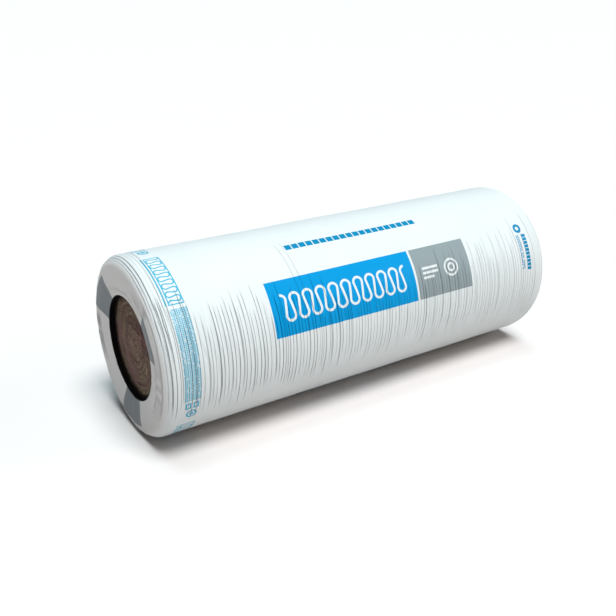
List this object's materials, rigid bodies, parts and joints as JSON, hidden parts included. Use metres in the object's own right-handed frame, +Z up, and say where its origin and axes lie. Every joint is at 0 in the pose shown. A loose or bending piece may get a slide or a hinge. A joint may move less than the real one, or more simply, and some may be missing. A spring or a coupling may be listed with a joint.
{
  "type": "insulation roll",
  "caption": "Roll of mineral wool insulation wrapped in printed white film, lying on its side, with the brown wool showing in a round opening at each end.",
  "frame": {"origin": "on the floor under the middle of the roll, the bottom centre of the box", "axes": "+X along the roll's axis, +Z up"},
  "size_m": [1.2, 0.4438, 0.444],
  "materials": {
    "film": "thin white polyethylene film, semi-gloss, wrinkled, printed in blue and grey",
    "wool": "matt brown mineral wool with loose fibres on the cut edges"
  },
  "bodies": {
    "root": {"film_wrap": "film", "wool_roll": "wool"}
  },
  "joints": []
}
